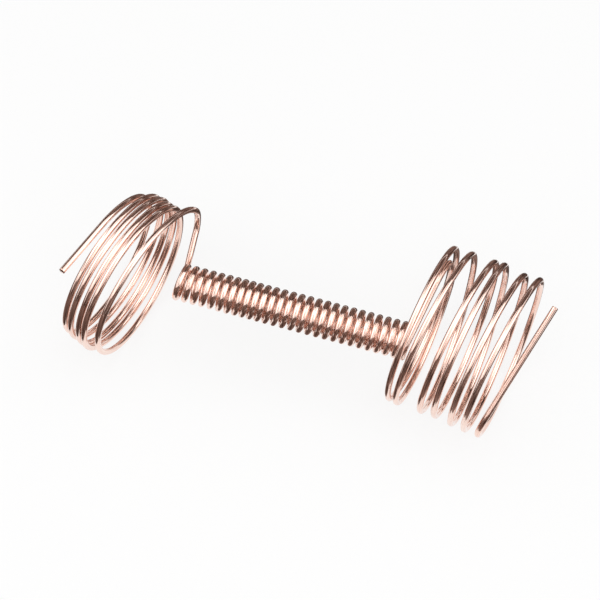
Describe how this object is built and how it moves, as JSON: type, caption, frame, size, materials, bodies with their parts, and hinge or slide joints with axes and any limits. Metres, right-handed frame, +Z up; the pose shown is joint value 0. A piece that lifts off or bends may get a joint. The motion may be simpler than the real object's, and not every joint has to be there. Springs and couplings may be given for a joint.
{
  "type": "immersion wort chiller",
  "caption": "Bare copper tube bent into a close coil of large loops, a long tight coil and an open coil of large loops, with a straight open tail at each end",
  "frame": {"origin": "middle of the outer box on X and Y, on the floor that the large coils' worn flats stand on", "axes": "+Z up, +X along the tight middle coil towards the open coil, +Y to the rear"},
  "size_m": [0.4736, 0.1972, 0.1738],
  "materials": {
    "copper": "bright drawn copper, polished"
  },
  "bodies": {
    "root": {"left_tail": "copper", "left_coil": "copper", "left_link": "copper", "middle_coil": "copper", "right_link": "copper", "right_coil": "copper", "right_tail": "copper"}
  },
  "joints": []
}
